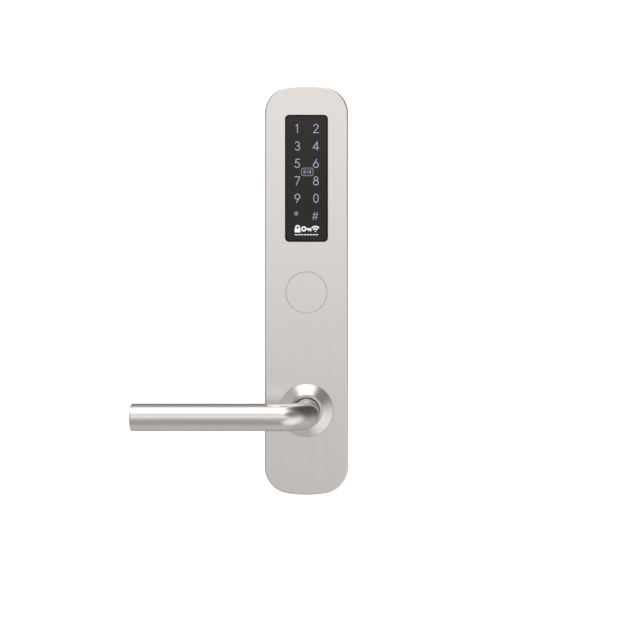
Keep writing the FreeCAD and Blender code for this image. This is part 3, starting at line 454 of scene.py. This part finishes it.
# Plain padlock, key and signal symbols in white along the foot of the glass, over a row of dashes.
FOOT_Z = GLASS_MIDDLE - 37.5 * MM
FOOT_STROKE = 1.05 * MM
PADLOCK_X, KEY_X, SIGNAL_X, SIGNAL_RISE = -6.6 * MM, -0.1 * MM, 6.6 * MM, 0.3 * MM
DASH_Z, DASH_START, DASH_STROKE = GLASS_MIDDLE - 41.8 * MM, -8.3 * MM, 0.74 * MM
DASH_COUNT, DASH_PITCH, DASH_LENGTH = 8, 2.2 * MM, 1.1 * MM

# Each symbol in millimetres about its own middle: three close bars under a shackle, a bow with its
# blade and teeth, and two waves over a dot.
PADLOCK = [[(-1.7, -0.3), (1.7, -0.3)], [(-1.7, -1.2), (1.7, -1.2)], [(-1.7, -2.1), (1.7, -2.1)],
           [(-1.3, 0)] + arc_points(0, 1.1, 1.3, 1.3, 180, 0, 12) + [(1.3, 0)]]
KEY = [arc_points(-1.9, 0, 1.45, 1.45, 0, 360, 24), [(-0.4, 0), (3.2, 0), (3.2, -1.3)],
       [(1.7, 0), (1.7, -1.1)]]
SIGNAL = [arc_points(0, -2.1, 1.9, 1.9, 132, 48, 12), arc_points(0, -2.1, 3.6, 3.6, 132, 48, 12),
          [(0, -2.0)]]

white_ink = lit_material("lit_white", (1.0, 1.0, 1.0))
symbols = (placed(PADLOCK, PADLOCK_X, FOOT_Z, MM) + placed(KEY, KEY_X, FOOT_Z, MM)
           + placed(SIGNAL, SIGNAL_X, FOOT_Z + SIGNAL_RISE, MM))
printed("foot_symbols", symbols, FOOT_STROKE, white_ink)
dash_starts = [DASH_START + count * DASH_PITCH for count in range(DASH_COUNT)]
printed("foot_dashes", [[(start, DASH_Z), (start + DASH_LENGTH, DASH_Z)] for start in dash_starts],
        DASH_STROKE, white_ink)

# ---------------------------------------------------------------- floor and backdrop

FLOOR_LEVEL = -0.62
FLOOR_REACH = 4.0
FLOOR_BEND = 1.0
FLOOR_SPOKES = 72
WALL_TOP = 6.0


def studio_white():
    made, graph, shader = material("studio_white")
    shade(shader, Base_Color=(1, 1, 1, 1), Roughness=0.9, Emission_Color=(1, 1, 1, 1),
          Emission_Strength=0.6)
    return made


def sweep():
    """Pale round floor that curves up into a wall far from the object on every side."""
    flat = FLOOR_REACH - FLOOR_BEND
    profile = arc_points(flat, FLOOR_LEVEL + FLOOR_BEND, FLOOR_BEND, FLOOR_BEND, -90, 0, 12)
    profile.append((FLOOR_REACH, WALL_TOP))
    mesh = bmesh.new()
    centre = mesh.verts.new((0, 0, FLOOR_LEVEL))
    spokes = []
    for x, y in arc_points(0, 0, 1, 1, 0, 360, FLOOR_SPOKES)[:-1]:
        spokes.append([mesh.verts.new((x * radius, y * radius, height)) for radius, height in profile])
    for spoke, following in zip(spokes, spokes[1:] + spokes[:1]):
        mesh.faces.new((centre, spoke[0], following[0]))
        for near, far, next_near, next_far in zip(spoke, spoke[1:], following, following[1:]):
            mesh.faces.new((near, far, next_far, next_near))
    data = bpy.data.meshes.new("studio_sweep")
    mesh.to_mesh(data)
    mesh.free()
    for face in data.polygons:
        face.use_smooth = True
    data.materials.append(studio_white())
    made = bpy.data.objects.new("studio_sweep", data)
    bpy.context.scene.collection.objects.link(made)
    made.visible_glossy = False
    made.visible_diffuse = False
    made.visible_shadow = False


sweep()

# ---------------------------------------------------------------- light

# Brightness of the surround against the angle in degrees. RISE runs from straight behind and
# below, through the front at 0, over the top; the two ROUND tables run round the object from the
# right at 0, up over the top, seen before and behind its sides.
RISE = [
    (-180, 0.55), (-138, 0.57), (-95, 0.58), (-83, 0.565), (-73, 0.54), (-64, 0.495), (-54, 0.43),
    (-45, 0.385), (-37, 0.40), (-28, 0.44), (-20, 0.485), (-12, 0.535), (-4, 0.675), (5, 0.84),
    (12, 1.04), (21, 0.92), (29, 0.80), (34, 0.86), (38, 1.12), (42, 1.5), (66, 1.5), (73, 1.95),
    (84, 1.95), (89, 1.5), (95, 1.1), (100, 0.7), (108, 0.50), (118, 0.40), (140, 0.33), (160, 0.38),
    (180, 0.55),
]
ROUND_FRONT = [
    (-180, 0.56), (-150, 0.55), (-120, 0.58), (-105, 0.59), (-90, 0.60), (-80, 0.64), (-72, 0.76),
    (-62, 0.96), (-50, 1.06), (-30, 1.05), (-20, 0.98), (-10, 0.86), (0, 0.73), (10, 0.54),
    (18, 0.38), (27, 0.28), (38, 0.27), (50, 0.29), (57, 0.42), (62, 0.73), (67, 1.12), (72, 1.5),
    (110, 1.5), (116, 1.15), (121, 0.75), (130, 0.52), (140, 0.50), (150, 0.54), (165, 0.58),
    (180, 0.56),
]
ROUND_BACK = [
    (-180, 0.28), (-150, 0.30), (-120, 0.42), (-90, 0.55), (-60, 0.53), (-38, 0.57), (-15, 0.42),
    (0, 0.25), (10, 0.16), (20, 0.13), (36, 0.10), (50, 0.10), (60, 0.13), (65, 0.18), (69, 0.26),
    (73, 0.45), (77, 0.8), (81, 1.25), (85, 1.5), (95, 1.5), (99, 1.25), (103, 0.8), (110, 0.4),
    (120, 0.3), (150, 0.28), (180, 0.28),
]
# RISE gives way to the ROUND tables past these sideways shares and these degrees from the front, and
# ROUND_FRONT to ROUND_BACK past the degrees in PAST_SIDE.
LEAN_RIGHT, LEAN_LEFT = (0.10, 0.24), (-0.30, -0.45)
TURNED_AWAY = (18, 40)
PAST_SIDE = (57, 88)
WARM_WHITE = (1.0, 0.962, 0.936, 1)


def studio_world():
    """Soft surround: light above, dark flag to the upper right, bright card to the lower right."""
    world = bpy.data.worlds.new("studio")
    bpy.context.scene.world = world
    world.use_nodes = True
    world.node_tree.nodes.clear()
    graph = Graph(world.node_tree)
    place = graph.add("ShaderNodeTexCoord")
    parts = graph.add("ShaderNodeSeparateXYZ")
    graph.link(place.outputs["Generated"], parts.inputs[0])
    across, up = parts.outputs["X"], parts.outputs["Z"]
    forward = graph.maths("MULTIPLY", parts.outputs["Y"], -1.0)

    def by_angle(angle, stops):
        share = graph.maths("ADD", graph.maths("DIVIDE", angle, 2 * math.pi), 0.5)
        return graph.ramp(share, [(degrees / 360 + 0.5, value) for degrees, value in stops])

    def beyond(angle, limits):
        return graph.smooth_step(angle, *(math.radians(limit) for limit in limits))

    bearing = graph.maths("ARCTAN2", up, across)
    off_axis = graph.maths("ARCCOSINE", forward)
    sideways = graph.maths("DIVIDE", across, graph.maths("SINE", off_axis))
    leaning = graph.maths("ADD", graph.smooth_step(sideways, *LEAN_RIGHT),
                          graph.smooth_step(sideways, *LEAN_LEFT))
    rise = by_angle(graph.maths("ARCTAN2", up, forward), RISE)
    side_light = graph.blend(by_angle(bearing, ROUND_FRONT), by_angle(bearing, ROUND_BACK),
                             beyond(off_axis, PAST_SIDE))
    light = graph.blend(rise, side_light, graph.maths("MULTIPLY", leaning, beyond(off_axis, TURNED_AWAY)))
    background = graph.add("ShaderNodeBackground")
    background.inputs["Color"].default_value = WARM_WHITE
    graph.link(light, background.inputs["Strength"])
    output = graph.add("ShaderNodeOutputWorld")
    graph.link(background.outputs[0], output.inputs["Surface"])


studio_world()

# ---------------------------------------------------------------- camera

CAMERA_AT = (1.5 * MM, -765.5 * MM, 72.5 * MM)
CAMERA_LENS, CAMERA_SENSOR = 57.75, 36.0


def photo_camera():
    """Looks straight at the door, level with the middle of the unit."""
    data = bpy.data.cameras.new("photo_camera")
    data.lens, data.sensor_width = CAMERA_LENS, CAMERA_SENSOR
    data.clip_start, data.clip_end = 0.05, 50.0
    camera = bpy.data.objects.new("photo_camera", data)
    bpy.context.scene.collection.objects.link(camera)
    camera.location = CAMERA_AT
    camera.rotation_euler = (math.pi / 2, 0, 0)
    bpy.context.scene.camera = camera


photo_camera()
bpy.context.scene.view_settings.view_transform = "Standard"
